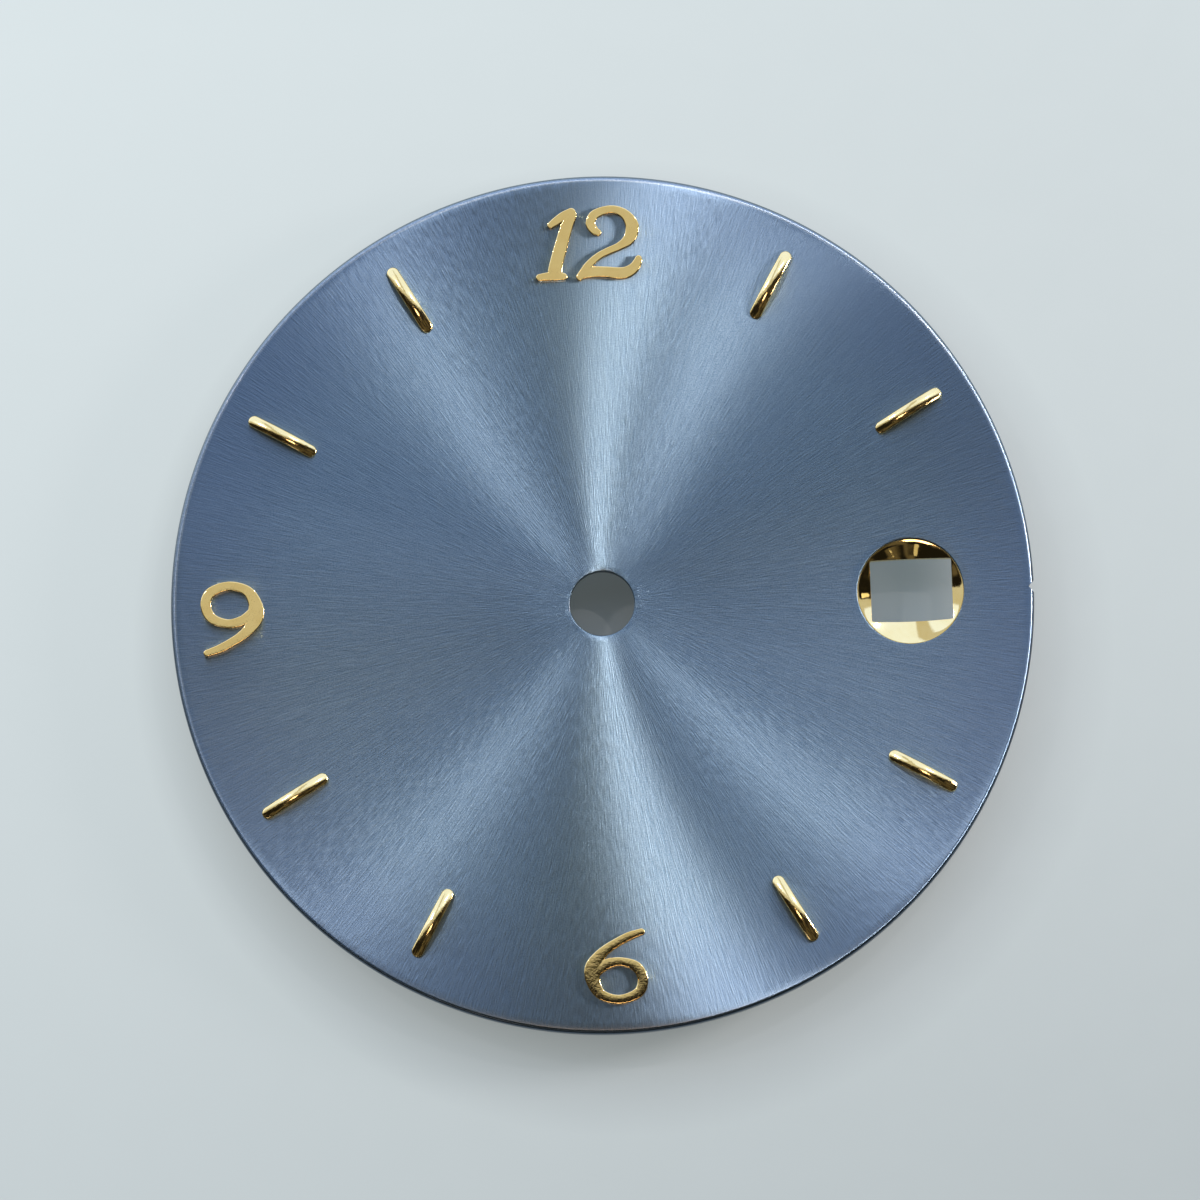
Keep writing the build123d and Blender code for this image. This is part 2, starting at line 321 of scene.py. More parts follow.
def make_slow_tone():
    """Soft noise of a named size: slow changes of tone when it is large, grit when it is small."""
    group, start, end = new_group(
        "Slow tone",
        [("Vector", "NodeSocketVector", None), ("Size mm", "NodeSocketFloat", 3.0)],
        [("Mask", "NodeSocketFloat")])
    scale = maths(group, "DIVIDE", 1.0 / MM, start.outputs["Size mm"])
    mask = noise(group, start.outputs["Vector"], scale, detail=3.0, roughness=0.55)
    feed(group, end.inputs["Mask"], ranged(group, mask, 0.3, 0.7, smooth=True))
    return group


scuffs = make_scuffs()
slow_tone = make_slow_tone()


def tone(tree, place, size):
    """The slow tone's mask, for a size in millimetres."""
    return place_group(tree, slow_tone, Vector=place, Size_mm=size).outputs["Mask"]


print("groups:", [group.name for group in bpy.data.node_groups])

# %% [markdown]
# ## The blue sunray finish
#
# A sunray dial is brushed along its radii. Each stroke is a tiny groove, so light spreads
# across the grooves and stays sharp along them. That is what an anisotropic highlight does,
# with its tangent running round the axis: every lamp then draws a bright ray on each side of
# the centre. The colour is that of the plated metal under a clear lacquer, which is the coat.
#
# Fine strokes cover the face. Towards the hole they turn broader, deeper and rougher. The rim's
# edge is worn in specks and carries a painted highlight, strongest to the north and west. The
# side below it is painted darker as shade, most of all to the south. The back is plain brass.

# %% A material to start from


def new_material(name):
    """A material with its Principled shader and the object's own coordinates."""
    material = bpy.data.materials.new(name)
    material.use_nodes = True
    tree = material.node_tree
    shader = tree.nodes["Principled BSDF"]
    place = tree.nodes.new("ShaderNodeTexCoord").outputs["Object"]
    return material, tree, shader, place


def bump(tree, shader, height, depth_mm):
    """Feed a height through a Bump node whose full range is a depth in millimetres."""
    node = tree.nodes.new("ShaderNodeBump")
    node.inputs["Distance"].default_value = depth_mm * MM
    feed(tree, node.inputs["Height"], height)
    feed(tree, shader.inputs["Normal"], node.outputs["Normal"])


# %% Colours, strokes and sizes of the sunray blue
sunray_light = (0.235, 0.335, 0.42, 1.0)
sunray_dark = (0.138, 0.22, 0.30, 1.0)
rim_blue = (0.14, 0.21, 0.315, 1.0)
# The side's dark colour is painted shade.
painted_side_shade = (0.07, 0.10, 0.14, 1.0)
# The worn edge's colour, which also serves as a painted highlight on the rim.
worn_edge_and_highlight = (0.34, 0.41, 0.47, 1.0)
brass_back = (0.72, 0.52, 0.26, 1.0)
# Where the worn edge with its painted highlight begins, and how soft that start is.
worn_and_highlight_start = 14.31
worn_and_highlight_blur = 0.02
side_shade_top = 0.372
side_blur = 0.01
stroke_sets = {"fine": (280.0, 1.9, 0.0), "broad": (105.0, 2.2, 3.0), "long": (190.0, 0.3, 7.0)}
stroke_depth = 0.011
grit_size = 0.05
chip_size = 0.06
grain_low = 0.30
grain_high = 0.70

# %% Sunray blue


def brush_strokes(tree, place, name):
    """One set of strokes, as a height: lines round the dial, run along the radius, and an offset."""
    lines, run, offset = stroke_sets[name]
    node = place_group(tree, radial_grain, Vector=place, Lines=lines, Run=run, Offset=offset)
    return node.outputs["Height"]


def sunray_colour(tree, place, radius, grain):
    """The blue of the face, then the worn edge with its painted highlight, the painted side shade and the
    brass back laid over it.
    """
    colour = blend_colour(tree, ranged(tree, grain, grain_low, grain_high), sunray_dark, sunray_light)
    rim = ranged(tree, radius, 9.5 * MM, 14.2 * MM, 0.0, 0.6, smooth=True)
    colour = blend_colour(tree, rim, colour, rim_blue)
    axes = axes_of(tree, place)
    chips = ranged(tree, tone(tree, place, chip_size), 0.0, 1.0, 0.45, 1.0)
    edge = ranged(tree, radius, (worn_and_highlight_start - worn_and_highlight_blur) * MM, (worn_and_highlight_start + worn_and_highlight_blur) * MM, smooth=True)
    # Painted highlight: the worn edge is lightened most to the north and west; its specks are wear.
    slant = maths(tree, "SUBTRACT", axes["Y"], maths(tree, "MULTIPLY", axes["X"], 0.35))
    highlight_by_direction = ranged(tree, slant, -6.0 * MM, 7.0 * MM, 0.08, 1.0, smooth=True)
    worn_and_highlight = maths(tree, "MULTIPLY", maths(tree, "MULTIPLY", edge, chips), highlight_by_direction)
    colour = blend_colour(tree, worn_and_highlight, colour, worn_edge_and_highlight)
    # Painted shade: the side below the rim is darkened, most of all to the south.
    low = ranged(tree, axes["Z"], (side_shade_top + side_blur) * MM,
                 (side_shade_top - side_blur) * MM, smooth=True)
    shaded = ranged(tree, axes["Y"], -1.0 * MM, 4.5 * MM, 1.0, 0.35, smooth=True)
    colour = blend_colour(tree, maths(tree, "MULTIPLY", low, shaded), colour, painted_side_shade)
    back = ranged(tree, axes["Z"], 0.03 * MM, 0.01 * MM)
    return blend_colour(tree, back, colour, brass_back)


def make_sunray_blue():
    """Brushed metal: the strokes set its colour, its roughness and its relief."""
    material, tree, shader, place = new_material("sunray_blue")
    radius = vector_maths(tree, "LENGTH", vector_maths(tree, "MULTIPLY", place, (1.0, 1.0, 0.0)))
    fine = brush_strokes(tree, place, "fine")
    broad = brush_strokes(tree, place, "broad")
    near_hole = ranged(tree, radius, 2.0 * MM, 9.5 * MM, 1.0, 0.2)
    strokes = blend_values(tree, near_hole, fine, broad)
    long = brush_strokes(tree, place, "long")
    grit = tone(tree, place, grit_size)
    grain = maths(tree, "ADD", maths(tree, "MULTIPLY", strokes, 0.45), maths(tree, "MULTIPLY", long, 0.25))
    grain = maths(tree, "ADD", grain, maths(tree, "MULTIPLY", grit, 0.3))
    feed(tree, shader.inputs["Base Color"], sunray_colour(tree, place, radius, grain))
    rough = ranged(tree, grain, grain_low, grain_high, 0.42, 0.36)
    rougher = ranged(tree, radius, 1.5 * MM, 7.0 * MM, 0.05, 0.0)
    feed(tree, shader.inputs["Roughness"], maths(tree, "ADD", rough, rougher))
    shader.inputs["Metallic"].default_value = 1.0
    shader.inputs["Anisotropic"].default_value = 1.0
    tangent = tree.nodes.new("ShaderNodeTangent")
    tangent.direction_type = "RADIAL"
    tangent.axis = "Z"
    feed(tree, shader.inputs["Tangent"], tangent.outputs["Tangent"])
    shader.inputs["Coat Weight"].default_value = 0.5
    shader.inputs["Coat Roughness"].default_value = 0.12
    deeper = maths(tree, "ADD", near_hole, 1.0)
    bump(tree, shader, maths(tree, "MULTIPLY", strokes, deeper), stroke_depth)
    return material


sunray_blue = make_sunray_blue()

# %% [markdown]
# ## The gilt finishes
#
# The batons and the date frame are gold plated and mirror polished, so what they show is their
# surroundings. A trace of scuffs keeps the mirror from being perfect. The numerals' tops are
# all but flat, so each mirrors one even part of the sky and reads as tan.

# %% Gilt, polished and satin


def make_gilt(name, colour, worn_colour, gloss, scuff_gloss, scuff_width, wave_size, wave_depth):
    """Plated gold: a base gloss, scuffs that dull it and a slow drift between two golds."""
    material, tree, shader, place = new_material(name)
    marks = place_group(tree, scuffs, Vector=place, Width_mm=scuff_width, Stretch=16.0).outputs["Mask"]
    drift = tone(tree, place, 0.6)
    feed(tree, shader.inputs["Base Color"], blend_colour(tree, drift, colour, worn_colour))
    dulled = maths(tree, "MULTIPLY", marks, scuff_gloss)
    feed(tree, shader.inputs["Roughness"],
         maths(tree, "ADD", dulled, ranged(tree, drift, 0.0, 1.0, gloss, gloss * 1.35)))
    shader.inputs["Metallic"].default_value = 1.0
    bump(tree, shader, tone(tree, place, wave_size), wave_depth)
    return material


gilt_mirror = make_gilt("gilt_mirror", (1.0, 0.79, 0.39, 1.0), (0.97, 0.74, 0.33, 1.0),
                        gloss=0.03, scuff_gloss=0.06, scuff_width=0.012,
                        wave_size=0.5, wave_depth=0.0004)
gilt_polish = make_gilt("gilt_polish", (1.0, 0.78, 0.37, 1.0), (0.96, 0.73, 0.32, 1.0),
                        gloss=0.08, scuff_gloss=0.10, scuff_width=0.015,
                        wave_size=0.16, wave_depth=0.0012)
gilt_satin = make_gilt("gilt_satin", (1.0, 0.75, 0.33, 1.0), (0.96, 0.70, 0.29, 1.0),
                       gloss=0.035, scuff_gloss=0.10, scuff_width=0.02,
                       wave_size=0.09, wave_depth=0.0002)

# %% [markdown]
# ## The finishes of the back
#
# The feet are bare copper wire, so they carry fine lines along their length. The solder froze
# with a soft, slightly dull skin. The lacquer beads are amber and glossy.

# %% Copper, solder and lacquer
copper_bright = (0.86, 0.48, 0.34, 1.0)
copper_tarnished = (0.66, 0.33, 0.22, 1.0)
solder_bright = (0.70, 0.71, 0.72, 1.0)
solder_dull = (0.52, 0.53, 0.54, 1.0)
lacquer_light = (0.62, 0.38, 0.13, 1.0)
lacquer_deep = (0.42, 0.22, 0.06, 1.0)


def two_tones(tree, shader, mask, first, second, first_rough, second_rough):
    """Let a mask choose between two colours, each with its own roughness."""
    feed(tree, shader.inputs["Base Color"], blend_colour(tree, mask, first, second))
    feed(tree, shader.inputs["Roughness"], ranged(tree, mask, 0.0, 1.0, first_rough, second_rough))


def make_copper():
    """Copper wire, with drawn lines that run along the pin."""
    material, tree, shader, place = new_material("copper")
    drawn = vector_maths(tree, "MULTIPLY", place, (1.0, 1.0, 0.04))
    two_tones(tree, shader, tone(tree, place, 0.7), copper_bright, copper_tarnished, 0.24, 0.40)
    shader.inputs["Metallic"].default_value = 1.0
    bump(tree, shader, noise(tree, drawn, 60.0 / MM), 0.002)
    return material


def make_solder():
    """Solder with a soft, frosted skin."""
    material, tree, shader, place = new_material("solder")
    two_tones(tree, shader, tone(tree, place, 0.3), solder_bright, solder_dull, 0.25, 0.45)
    shader.inputs["Metallic"].default_value = 1.0
    bump(tree, shader, noise(tree, place, 9.0 / MM, detail=3.0), 0.008)
    return material


def make_lacquer():
    """Amber lacquer in two tones, glossier where it is light."""
    material, tree, shader, place = new_material("lacquer")
    depth = tone(tree, place, 0.25)
    two_tones(tree, shader, depth, lacquer_light, lacquer_deep, 0.14, 0.26)
    bump(tree, shader, depth, 0.004)
    return material


copper = make_copper()
solder = make_solder()
lacquer = make_lacquer()

# %% [markdown]
# ## The plate
#
# The plate is one closed skin. Round the centre it is a lathe shape: across the face, over the
# rim, back under and up through the centre hole. Two things break that symmetry. The notch
# cuts into the rim at 3 o'clock, and the date window is a round hole of its own. For the notch
# the rim's profile stops early where the V is. For the window a block of the polar grid is left
# out, and a second lathe shape about the window's own axis fills the block up to its hole.

# %% Sizes of the plate's edges
centre_hole_radius = 1.085
centre_hole_round = 0.04
rim_roll_width = 0.25
rim_edge_width = 0.15
rim_roll_start = dial_radius - (rim_roll_width + rim_edge_width)
rim_edge_start = dial_radius - rim_edge_width
rim_roll_drop = 0.005
rim_edge_drop = 0.15
back_edge_round = 0.02
notch_half_width = 0.185
notch_depth = 0.17
notch_root_round = 0.05
window_hole_radius = 1.785
window_lip_round = 0.04
window_dip_width = 0.22
window_dip = 0.006
block_inner = 7.9
block_outer = 12.95
block_half_angle = 18.0
grid_step = 0.5
notch_span = 1.0
near_zero = 1e-6

# %% The polar grid's directions and the notch


def notch_radius(angle_degrees):
    """Outer radius of the plate in each direction.

    Inside the notch it is the V's own distance: root + |y| x depth / half width, and the root's
    point is rounded by a hyperbola sqrt(y^2 + c^2), which is a rounded |y|.
    """
    offset = np.abs(np.radians(angle_degrees)) * dial_radius
    soft = np.sqrt(offset**2 + (notch_root_round / 2) ** 2)
    vee = dial_radius - notch_depth + (soft - notch_root_round / 2) * notch_depth / notch_half_width
    return np.minimum(vee, dial_radius)


def plate_directions():
    """Directions round the plate in degrees from 3 o'clock, closer together at the notch."""
    fine = np.linspace(-notch_span, notch_span, 41)
    side = np.arange(notch_span + grid_step, block_half_angle + near_zero, grid_step)
    rest = np.arange(block_half_angle + grid_step, 360 - block_half_angle, grid_step)
    return np.concatenate([-side[::-1], fine, side, rest])


directions = plate_directions()
around = len(directions)
cosines = np.cos(np.radians(directions))
sines = np.sin(np.radians(directions))
print("directions round the plate:", around)

# %% The profile over the rim


def rim_profile(steps=14):
    """Radius and height over the rim: a shallow arc, then a quarter of an ellipse.

    The arc falls as the square of the distance, which is what a large circle does near its top.
    """
    roll = np.linspace(0, 1, steps)
    roll_r = rim_roll_start + (rim_edge_start - rim_roll_start) * roll
    roll_z = face_height - rim_roll_drop * roll**2
    turn = np.linspace(0, np.pi / 2, steps)[1:]
    edge_r = rim_edge_start + (dial_radius - rim_edge_start) * np.sin(turn)
    edge_z = face_height - rim_roll_drop - rim_edge_drop * (1 - np.cos(turn))
    return np.concatenate([roll_r, edge_r]), np.concatenate([roll_z, edge_z])


def rim_rows():
    """The rim's profile in every direction, stopped where the notch cuts it off."""
    profile_r, profile_z = rim_profile()
    share = np.linspace(0, 1, len(profile_r))
    limit = np.interp(notch_radius(directions), profile_r, share)
    along = share[:, None] * limit[None, :]
    return np.interp(along, share, profile_r), np.interp(along, share, profile_z)


# %% Rows of the plate's polar grid


def level_rows(radii, height):
    """Rows of the grid on one level: radius and height in every direction."""
    grid = np.repeat(np.asarray(radii, float)[:, None], around, axis=1)
    return grid, np.full_like(grid, height)


def quarter_turn(steps):
    """Angles from 0 to a quarter turn, for a small rounded edge."""
    return np.linspace(0, np.pi / 2, steps)


inner_rows = np.array([1.3, 1.7, 2.4, 3.4, 4.6, 6.2])
block_rows = np.linspace(block_inner, block_outer, 18)
face_radii = np.concatenate([inner_rows, block_rows, [13.3]])


def plate_grid():
    """All rows from the centre hole's edge, over the face and rim, and back to the hole."""
    turn = quarter_turn(5)
    hole_r = centre_hole_radius + centre_hole_round * (1 - np.cos(turn))
    hole_z = face_height - centre_hole_round * (1 - np.sin(turn))
    hole = np.repeat(hole_r[:, None], around, 1), np.repeat(hole_z[:, None], around, 1)
    face = level_rows(face_radii, face_height)
    rim = rim_rows()
    outer = notch_radius(directions)[None, :]
    foot_turn = quarter_turn(4)[:, None]
    foot = (outer - back_edge_round * (1 - np.cos(foot_turn)),
            back_edge_round * (1 - np.sin(foot_turn)) + 0 * outer)
    back = level_rows(face_radii[::-1], 0.0)
    bore = level_rows([centre_hole_radius + back_edge_round], 0.0)
    wall = level_rows([centre_hole_radius], back_edge_round)
    close = hole[0][:1], hole[1][:1]
    parts = [hole, face, rim, foot, back, bore, wall, close]
    return np.concatenate([p[0] for p in parts]), np.concatenate([p[1] for p in parts])


# %% Build the plate


def block_skip(radii, heights):
    """Mask of the quads inside the window's block, on the face and on the back."""
    block = (np.abs(directions) <= block_half_angle + near_zero)[None, :]
    column = block & np.roll(block, -1, axis=1)
    inside = (radii >= block_inner - near_zero) & (radii <= block_outer + near_zero)
    level = (heights == face_height) | (heights == 0.0)
    row = inside[:-1] & inside[1:] & level[:-1] & level[1:] & (heights[:-1] == heights[1:])
    return row & column


def block_outline():
    """The block's edge as one loop, counter-clockwise from above, starting at its lower corner."""
    span = directions[np.abs(directions) <= block_half_angle + near_zero]
    low = np.full(len(block_rows), -block_half_angle)
    radius = np.concatenate([block_rows, np.full(len(span) - 1, block_outer), block_rows[::-1][1:],
                             np.full(len(span) - 2, block_inner)])
    angle = np.concatenate([low, span[1:], -low[1:], span[::-1][1:-1]])
    return radius * np.cos(np.radians(angle)), radius * np.sin(np.radians(angle))


def window_rows():
    """The second lathe shape: from the block's edge on the back, up the hole, to the face."""
    edge_x, edge_y = block_outline()
    bearing = np.arctan2(edge_y, edge_x - window_x)
    turn = quarter_turn(8)
    out = np.linspace(0, 1, 7)[1:]
    dip_start = window_hole_radius + window_lip_round
    radii = np.concatenate([[window_hole_radius + back_edge_round, window_hole_radius],
                            window_hole_radius + window_lip_round * (1 - np.cos(turn)),
                            dip_start + window_dip_width * out])
    heights = np.concatenate([[0.0, back_edge_round],
                              face_height - window_dip - window_lip_round * (1 - np.sin(turn)),
                              face_height - window_dip * (1 + np.cos(np.pi * out)) / 2])
    hole = np.stack([window_x + radii[:, None] * np.cos(bearing),
                     radii[:, None] * np.sin(bearing),
                     np.repeat(heights[:, None], len(bearing), 1)], axis=-1)
    share = np.array([0.25, 0.55])[:, None, None]
    face_edge = np.stack([edge_x, edge_y, np.full_like(edge_x, face_height)], axis=-1)
    back_edge = np.stack([edge_x, edge_y, np.zeros_like(edge_x)], axis=-1)
    between = hole[-1] + share * (face_edge - hole[-1])
    return np.concatenate([back_edge[None], hole, between, face_edge[None]])


def build_plate():
    """The polar grid without its block, and the window's rows that fill the block."""
    radii, heights = plate_grid()
    lathe = np.stack([radii * cosines, radii * sines, heights], axis=-1).reshape(-1, 3)
    faces = band_faces(len(radii), around, skip=block_skip(radii, heights))
    window = window_rows()
    window_faces = band_faces(window.shape[0], window.shape[1], first=len(lathe))
    points = np.concatenate([lathe, window.reshape(-1, 3)])
    return weld(mesh_piece("plate", points, np.concatenate([faces, window_faces])))


plate = build_plate()
dress(plate, sunray_blue, "sunray_blue", "dial_plate")

# %% [markdown]
# ## The date window's frame
#
# This is a turned ring with a rectangle cut through it. Its face is a polished cone that falls
# towards the opening. A cone is made of straight lines from its rim to its axis, so each point
# of the rectangle's outline is joined to the rim in its own direction from the axis, and the
# cone comes out exact however the rectangle sits.

# %% Sizes of the frame
frame_rim_radius = 1.775
frame_land = 0.03
dish_radius = frame_rim_radius - frame_land
frame_depth = 0.15
frame_top = face_height - frame_depth
frame_slope = math.radians(13.0)
flange_radius = (frame_high[0] - frame_low[0]) / 2
flange_bottom = frame_low[2]
opening_half = np.array([1.365, 1.02])
opening_bow = 0.035
opening_round = 0.06
opening_offset = np.array([0.03, 0.05])
opening_edge_round = 0.012
frame_edge_round = 0.008
flange_edge_round = 0.02

# %% The opening's outline


def opening_outline(per_side=24, per_corner=6):
    """A rectangle with round corners whose long sides bow outwards: y gains bow x (1 - (x/a)^2).

    It returns the points and the outward direction at each, counter-clockwise from above.
    """
    a, b = opening_half - opening_round
    turn = np.linspace(0, np.pi / 2, per_corner, endpoint=False)
    line = np.linspace(0, 1, per_side, endpoint=False)[:, None]
    corners = np.array([(a, b), (-a, b), (-a, -b), (a, -b)])
    parts = []
    for number, corner in enumerate(corners):
        bearing = turn + number * np.pi / 2
        arc = corner + opening_round * np.stack([np.cos(bearing), np.sin(bearing)], 1)
        outward = np.array([math.cos((number + 1) * np.pi / 2), math.sin((number + 1) * np.pi / 2)])
        start = corner + opening_round * outward
        stop = corners[(number + 1) % 4] + opening_round * outward
        parts += [arc, start + line * (stop - start)]
    loop = np.concatenate(parts)
    bow = opening_bow * (1 - (loop[:, 0] / opening_half[0]) ** 2)
    loop[:, 1] += np.sign(loop[:, 1]) * bow * (np.abs(loop[:, 1]) > b * 0.98)
    ahead = np.roll(loop, -1, 0) - np.roll(loop, 1, 0)
    outward = np.stack([ahead[:, 1], -ahead[:, 0]], 1) / np.linalg.norm(ahead, axis=1)[:, None]
    return loop + opening_offset, outward


# %% Build the frame


def cone_height(radius):
    """Height of the dished face at a distance from the frame's axis."""
    return frame_top - np.maximum(dish_radius - radius, 0) * math.tan(frame_slope)


def build_window_frame():
    """Rows from the opening's edge, over the cone, the rim and the flange, back to the opening."""
    outline, outward = opening_outline()
    bearing = np.arctan2(outline[:, 1], outline[:, 0])
    rim = np.stack([np.cos(bearing), np.sin(bearing)], 1)
    lip = outline + outward * opening_edge_round
    lip_distance = np.linalg.norm(lip, axis=1)
    rows = []

    def add_row(plan, height):
        rows.append(np.column_stack([plan[:, 0] + window_x, plan[:, 1], height * np.ones(len(plan))]))

    for angle in quarter_turn(4):
        plan = outline + outward * opening_edge_round * (1 - np.cos(angle))
        add_row(plan, cone_height(lip_distance) - opening_edge_round * (1 - np.sin(angle)))
    for share in (0.25, 0.5, 0.75, 1.0):
        radius = lip_distance + share * (dish_radius - lip_distance)
        add_row(rim * radius[:, None], cone_height(radius))
    outside = (
        (frame_rim_radius - frame_edge_round, frame_top),
        (frame_rim_radius, frame_top - frame_edge_round),
        (frame_rim_radius, 0.0),
        (flange_radius - flange_edge_round, 0.0),
        (flange_radius, -flange_edge_round),
        (flange_radius, flange_bottom + flange_edge_round),
        (flange_radius - flange_edge_round, flange_bottom),
    )
    for radius, height in outside:
        add_row(rim * radius, height)
    add_row(lip, flange_bottom)
    add_row(outline, flange_bottom + opening_edge_round)
    points = np.concatenate(rows + [rows[0]])
    faces = band_faces(len(rows) + 1, len(outline))
    return weld(mesh_piece("window_frame", points, faces), sharp_degrees=25)


window_frame = build_window_frame()
dress(window_frame, gilt_mirror, "gilt_polish", "date_window_frame")

# %% [markdown]
# ## The batons
#
# Each hour marker is a small bar of gilt metal, milled to a crown that curves across and along,
# then tumbled until its edges are soft. A grid of offset outlines suits it: the outline is two
# half circles joined by straight sides, and each inner loop is the same outline drawn in. The
# height is the crown's, less a small round-over that depends only on the distance to the edge.

# %% Sizes of a baton
baton_length = 2.55
baton_width = 0.42
baton_height = 0.32
baton_end_height = 0.10
baton_crown_radius = 0.45
baton_edge_round = 0.045
baton_nodes = sorted(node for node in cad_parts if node.startswith("index_"))

# %% The baton's surface


def baton_crown(x, y):
    """Height of the crown: a long arc along y, less the drop of a small circle across x."""
    half = baton_length / 2
    fall = baton_height - baton_end_height
    long_radius = (half**2 + fall**2) / (2 * fall)
    along = baton_height - long_radius + np.sqrt(long_radius**2 - y**2)
    across = baton_crown_radius - np.sqrt(baton_crown_radius**2 - x**2)
    return along - across


def round_over(distance, size):
    """Drop of a quarter circle of a given size at a distance in from the edge."""
    share = np.clip(1 - distance / size, 0, 1)
    return size * (1 - np.sqrt(1 - share**2))


def baton_points(steps=40):
    """Loops of the baton from its centre line out to its edge, then down to its foot."""
    half = baton_width / 2
    reach = baton_length / 2 - half
    turn = np.linspace(0, np.pi, steps)
    cap_x, cap_y = np.cos(turn), np.sin(turn)
    side = np.linspace(1, -1, 90)[1:-1]
    unit_x = np.concatenate([cap_x, -np.ones(len(side)), -cap_x, np.ones(len(side))])
    unit_y = np.concatenate([cap_y, np.zeros(len(side)), -cap_y, np.zeros(len(side))])
    shift = np.concatenate([np.full(steps, reach), reach * side, np.full(steps, -reach), -reach * side])
    core_shares = np.linspace(1, 0.3, 12)
    edge_shares = 0.27 * np.cos(quarter_turn(14))[1:]
    inset = half * np.concatenate([core_shares, edge_shares, [0.0]])
    inset = np.unique(inset.round(6))[::-1]
    x = (half - inset)[:, None] * unit_x
    y = (half - inset)[:, None] * unit_y + shift
    z = baton_crown(x, y) - round_over(inset[:, None], baton_edge_round)
    top = np.stack([x, y, z], axis=-1)
    wall = top[-1:].copy()
    wall[..., 2] = 0.0
    base = top[:1].copy()
    base[..., 2] = 0.0
    return np.concatenate([top, wall, base])


def build_baton(node):
    """One baton, turned to its hour and set at the middle of its node."""
    rows = baton_points()
    middle = node_box(node)[2]
    hour = math.atan2(middle[0], middle[1])
    cosine, sine = math.cos(hour), math.sin(hour)
    turn = np.array([[cosine, -sine, 0], [sine, cosine, 0], [0, 0, 1]])
    points = rows.reshape(-1, 3) @ turn
    points += np.array([middle[0], middle[1], face_height])
    return weld(mesh_piece(node.replace("index", "baton"), points, band_faces(*rows.shape[:2])))


for node in baton_nodes:
    dress(build_baton(node), gilt_polish, "gilt_polish", node)

# %% [markdown]
# ## The numerals
#
# A numeral is drawn with a few pen strokes. Each stroke is a smooth line with a width that
# swells and thins. The distance from a point to the numeral's edge is then simple: it is the
# largest value of half width minus distance over all points of all strokes. It is positive
# inside, and the strokes melt together by themselves. The height of the piece follows from that
# distance and the stroke's half width: rounded over near the edge, and all but flat on top, with
# a dome of about a thousandth of a millimetre that is highest in the middle of a stroke.
#
# The surface is a fine square grid. Points next to the edge are moved onto it, and cells
# outside are dropped. The normals come from the same formula, so the round-over shines evenly.

# %% Strokes of the numerals
numeral_height = 2.5
numeral_thickness = 0.22
numeral_edge_round = 0.032
numeral_dome = 0.0012
one_strokes = (
    ((-0.211, 0.395, 0.145), (-0.275, 0.262, 0.168), (-0.359, 0.010, 0.180), (-0.437, -0.245, 0.186),
     (-0.461, -0.350, 0.192)),
    ((-0.497, 0.277, 0.092), (-0.416, 0.332, 0.116), (-0.321, 0.394, 0.125), (-0.213, 0.440, 0.127)),
    ((-0.671, -0.426, 0.100), (-0.581, -0.418, 0.116), (-0.441, -0.412, 0.135), (-0.346, -0.426, 0.100)),
)
two_strokes = (
    ((0.137, 0.152, 0.096), (0.081, 0.196, 0.123), (0.043, 0.284, 0.135), (0.108, 0.402, 0.129),
     (0.324, 0.463, 0.110), (0.507, 0.390, 0.135), (0.601, 0.225, 0.183), (0.555, 0.057, 0.160),
     (0.428, -0.038, 0.112), (0.261, -0.106, 0.103), (0.134, -0.168, 0.101), (-0.002, -0.282, 0.111),
     (-0.126, -0.440, 0.109)),
    ((-0.111, -0.434, 0.086), (0.039, -0.383, 0.148), (0.228, -0.386, 0.150), (0.382, -0.409, 0.164),
     (0.500, -0.402, 0.162), (0.600, -0.346, 0.144), (0.654, -0.270, 0.120), (0.669, -0.222, 0.094)),
)
nine_strokes = (
    ((0.288, 0.073, 0.144), (0.203, 0.003, 0.139), (0.098, -0.055, 0.139), (-0.072, -0.074, 0.122),
     (-0.271, 0.000, 0.142), (-0.353, 0.172, 0.144), (-0.286, 0.349, 0.140), (-0.037, 0.431, 0.128),
     (0.203, 0.360, 0.142), (0.310, 0.183, 0.185), (0.310, 0.003, 0.220), (0.228, -0.147, 0.162),
     (0.110, -0.252, 0.133), (-0.022, -0.330, 0.124), (-0.187, -0.410, 0.119), (-0.357, -0.463, 0.097)),
)

# %% From strokes to a distance


def stroke_samples(stroke, steps=28):
    """Points along a stroke, by a cubic whose slope at a point is half its neighbours' step."""
    rows = np.array(stroke) * numeral_height
    rows = np.concatenate([[2 * rows[0] - rows[1]], rows, [2 * rows[-1] - rows[-2]]])
    a, b, c, d = (rows[k:len(rows) - 3 + k, None, :] for k in range(4))
    t = (np.arange(steps) / steps)[None, :, None]
    spans = b + t * (c - a) / 2 + t**2 * (2 * a - 5 * b + 4 * c - d) / 2
    spans = spans + t**3 * (3 * b - a - 3 * c + d) / 2
    return np.concatenate([spans.reshape(-1, 3), rows[-2:-1]])


def edge_distance(points, samples):
    """Distance in from the edge, the direction away from it and the stroke's half width there."""
    distance = np.empty(len(points))
    inward = np.empty((len(points), 2))
    half_width = np.empty(len(points))
    for part in np.array_split(np.arange(len(points)), max(1, len(points) // 4000)):
        gap = samples[None, :, :2] - points[part, None, :]
        length = np.sqrt((gap**2).sum(-1))
        value = samples[None, :, 2] / 2 - length
        best = value.argmax(1)
        chosen = np.arange(len(part)), best
        distance[part] = value[chosen]
        inward[part] = gap[chosen] / np.maximum(length[chosen], 1e-9)[:, None]
        half_width[part] = samples[best, 2] / 2
    return distance, inward, half_width


# %% From a distance to a mesh


